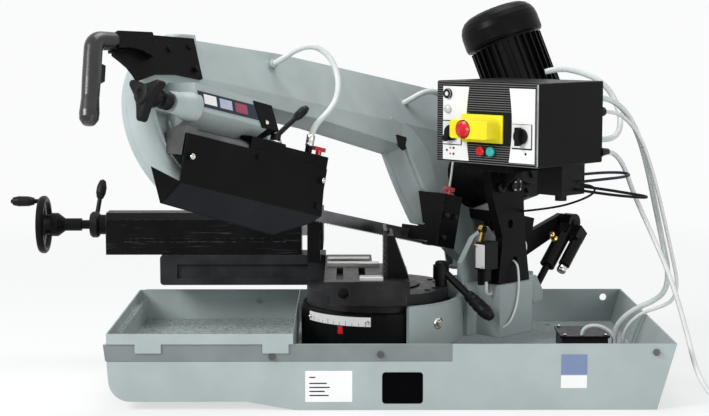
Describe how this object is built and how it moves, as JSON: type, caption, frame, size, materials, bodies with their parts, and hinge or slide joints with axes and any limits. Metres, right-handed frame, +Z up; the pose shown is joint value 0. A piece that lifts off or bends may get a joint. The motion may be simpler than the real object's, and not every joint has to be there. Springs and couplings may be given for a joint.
{
  "type": "metal cutting band saw",
  "caption": "Mitring band saw for metal: leaning bow head on a swivel base, closed toothed blade on wheels, crank vise, control box, coolant taps and lift damper.",
  "frame": {"origin": "on the mitre axis at the underside of the base", "axes": "+Z up, +X along the front of the base to the right, +Y away from the front"},
  "size_m": [1.8413, 0.9836, 0.8008],
  "materials": {
    "grey_paint": "satin grey-green paint",
    "grey_casting": "satin grey-green paint on a casting",
    "black_casting": "satin black paint on a casting",
    "black_paint": "satin black paint",
    "motor_black": "satin black paint on a light casting",
    "black_plastic": "matte black",
    "panel_plastic": "fine lined dark panel",
    "steel": "ground steel",
    "blade_steel": "blade steel",
    "dark_iron": "bare machined iron",
    "zinc": "bright plated",
    "brass": "turned brass",
    "red_plastic": "gloss red",
    "green_plastic": "gloss green",
    "yellow_plastic": "gloss yellow",
    "white_plastic": "pale satin plate",
    "white_hose": "braided pale hose",
    "white_cable": "pale cable sheath"
  },
  "bodies": {
    "base": {"base_pan": "grey_paint", "tray_deck": "grey_paint", "chip_tray": "grey_paint", "base_bolts": "zinc", "pedestal": "black_casting", "vise_bed": "dark_iron", "rest_strips": "steel", "fixed_jaw": "black_casting", "fixed_jaw_plate": "dark_iron", "vise_guide": "black_casting", "control_cables": "white_cable", "mains_lead": "white_cable", "mains_plug": "white_cable"},
    "vise_carriage": {"vise_beam": "black_casting"},
    "vise_jaw": {"vise_ram": "steel", "moving_jaw": "black_casting"},
    "vise_screw": {"handwheel": "black_paint"},
    "crank": {"crank_grip": "black_plastic"},
    "vise_lock": {"vise_lock_lever": "black_plastic"},
    "swivel": {"turntable_ring": "dark_iron", "swivel_arm": "grey_casting", "pivot_shaft": "zinc", "box_bracket": "black_paint", "control_box": "panel_plastic", "control_panel": "panel_plastic", "estop_housing": "yellow_plastic", "switch_plates": "white_plastic", "junction_box": "black_plastic", "limit_switch": "black_plastic"},
    "mitre_lock": {"mitre_lock_lever": "black_plastic"},
    "estop": {"estop_button": "red_plastic"},
    "stop": {"stop_button": "red_plastic"},
    "start": {"start_button": "green_plastic"},
    "main_selector": {"main_switch": "black_plastic"},
    "speed_selector": {"speed_switch": "black_plastic"},
    "limit_arm": {"limit_lever": "brass"},
    "damper_rod": {"cylinder_rod": "zinc"},
    "head": {"bow_casting": "grey_casting", "rear_cover": "grey_paint", "handle_bracket": "black_paint", "handle_grip": "black_plastic", "gearbox": "black_casting", "motor_body": "motor_black", "fan_cowl": "black_paint", "pivot_ears": "black_casting", "blade": "blade_steel", "guide_bar": "steel", "right_guide": "black_casting", "coolant_hose": "white_hose"},
    "damper_barrel": {"cylinder_barrel": "motor_black"},
    "trigger": {"trigger": "black_plastic"},
    "tension_screw": {"tension_knob": "black_plastic"},
    "tension_carriage": {"tension_slide": "steel"},
    "idler": {"idler_wheel": "dark_iron"},
    "drive": {"drive_wheel": "dark_iron"},
    "guide": {"guide_arm": "black_casting", "blade_guard": "black_paint"},
    "guide_clamp": {"guide_clamp_lever": "black_plastic"},
    "left_tap": {"tap_left": "red_plastic"},
    "right_tap": {"tap_right": "red_plastic"}
  },
  "joints": [
    {"name": "mitre", "type": "hinge", "parent": "base", "child": "swivel", "pos_m": [0, 0, 0.164], "axis": [0, 0, 1], "range_deg": [-45, 15], "deforming": ["control_cables", "mains_lead"]},
    {"name": "lift", "type": "hinge", "parent": "swivel", "child": "head", "pos_m": [0.21213, 0.21213, 0.262], "axis": [-0.7071, 0.7071, 0], "range_deg": [-13.5, 20]},
    {"name": "vise_traverse", "type": "slide", "parent": "base", "child": "vise_carriage", "axis": [1, 0, 0], "range_m": [-0.1, 0.04]},
    {"name": "vise_crank", "type": "hinge", "parent": "vise_carriage", "child": "vise_screw", "pos_m": [-0.7, 0.172, 0.306], "axis": [1, 0, 0], "range_deg": [0, 1440]},
    {"name": "vise_clamp", "type": "slide", "parent": "vise_carriage", "child": "vise_jaw", "axis": [1, 0, 0], "range_m": [0, 0.02]},
    {"name": "crank_spin", "type": "hinge", "parent": "vise_screw", "child": "crank", "pos_m": [-0.74, 0.172, 0.358], "axis": [1, 0, 0], "continuous": true},
    {"name": "vise_lock_turn", "type": "hinge", "parent": "vise_carriage", "child": "vise_lock", "pos_m": [-0.624, 0.172, 0.306], "axis": [1, 0, 0], "range_deg": [-30, 35]},
    {"name": "mitre_lock_turn", "type": "hinge", "parent": "swivel", "child": "mitre_lock", "pos_m": [0.13364, -0.02051, 0.23], "axis": [0, 0, 1], "range_deg": [-12, 4]},
    {"name": "estop_push", "type": "slide", "parent": "swivel", "child": "estop", "axis": [0.7071, 0.7071, 0], "range_m": [0, 0.006]},
    {"name": "stop_push", "type": "slide", "parent": "swivel", "child": "stop", "axis": [0.7071, 0.7071, 0], "range_m": [0, 0.0025], "stiffness_N_per_m": 600},
    {"name": "start_push", "type": "slide", "parent": "swivel", "child": "start", "axis": [0.7071, 0.7071, 0], "range_m": [0, 0.0025], "stiffness_N_per_m": 600},
    {"name": "main_turn", "type": "hinge", "parent": "swivel", "child": "main_selector", "pos_m": [0.1492, -0.11526, 0.53], "axis": [0.7071, 0.7071, 0], "range_deg": [-30, 90]},
    {"name": "speed_turn", "type": "hinge", "parent": "swivel", "child": "speed_selector", "pos_m": [0.27648, -0.24254, 0.531], "axis": [0.7071, 0.7071, 0], "range_deg": [-60, 60]},
    {"name": "limit_tilt", "type": "hinge", "parent": "swivel", "child": "limit_arm", "pos_m": [0.21425, -0.01626, 0.284], "axis": [-0.7071, 0.7071, 0], "range_deg": [-20, 20], "stiffness_Nm_per_rad": 0.5},
    {"name": "rod_tilt", "type": "hinge", "parent": "swivel", "child": "damper_rod", "pos_m": [0.33941, 0.11031, 0.155], "axis": [-0.7071, 0.7071, 0], "range_deg": [-10, 15]},
    {"name": "barrel_tilt", "type": "hinge", "parent": "head", "child": "damper_barrel", "pos_m": [0.43628, 0.20718, 0.305], "axis": [-0.7071, 0.7071, 0], "range_deg": [-7, 5]},
    {"name": "trigger_pull", "type": "slide", "parent": "head", "child": "trigger", "axis": [-0.6965, -0.62, 0.3611], "range_m": [0, 0.005], "stiffness_N_per_m": 500},
    {"name": "tension_turn", "type": "hinge", "parent": "head", "child": "tension_screw", "pos_m": [-0.42121, -0.48695, 0.62126], "axis": [0.6876, 0.6876, -0.2334], "range_deg": [0, 720]},
    {"name": "tension_travel", "type": "slide", "parent": "head", "child": "tension_carriage", "axis": [0.6876, 0.6876, -0.2334], "range_m": [0, 0.008]},
    {"name": "drive_spin", "type": "hinge", "parent": "head", "child": "drive", "pos_m": [0.17024, 0.24335, 0.38049], "axis": [0.7175, -0.5938, 0.3643], "continuous": true},
    {"name": "idler_spin", "type": "hinge", "parent": "tension_carriage", "child": "idler", "pos_m": [-0.35575, -0.28264, 0.55907], "axis": [0.7175, -0.5938, 0.3643], "continuous": true},
    {"name": "guide_travel", "type": "slide", "parent": "head", "child": "guide", "axis": [0.6876, 0.6876, -0.2334], "range_m": [0, 0.06], "deforming": ["coolant_hose"]},
    {"name": "guide_clamp_turn", "type": "hinge", "parent": "guide", "child": "guide_clamp", "pos_m": [-0.20349, -0.28269, 0.52763], "axis": [0.1651, 0.1651, 0.9724], "range_deg": [-30, 30]},
    {"name": "left_tap_turn", "type": "hinge", "parent": "guide", "child": "left_tap", "pos_m": [-0.12175, -0.20519, 0.49545], "axis": [0.1651, 0.1651, 0.9724], "range_deg": [0, 90]},
    {"name": "right_tap_turn", "type": "hinge", "parent": "head", "child": "right_tap", "pos_m": [0.15308, 0.05409, 0.38936], "axis": [0.1651, 0.1651, 0.9724], "range_deg": [0, 90]}
  ],
  "couplings": [
    {"joint": "vise_clamp", "follows": "vise_crank", "m_per_rad": 0.00079577},
    {"joint": "tension_turn", "follows": "tension_travel", "rad_per_m": 1570.8},
    {"joint": "idler_spin", "follows": "drive_spin", "ratio": 1},
    {"joint": "rod_tilt", "follows": "lift", "ratio": 0.7},
    {"joint": "barrel_tilt", "follows": "lift", "ratio": -0.3}
  ]
}
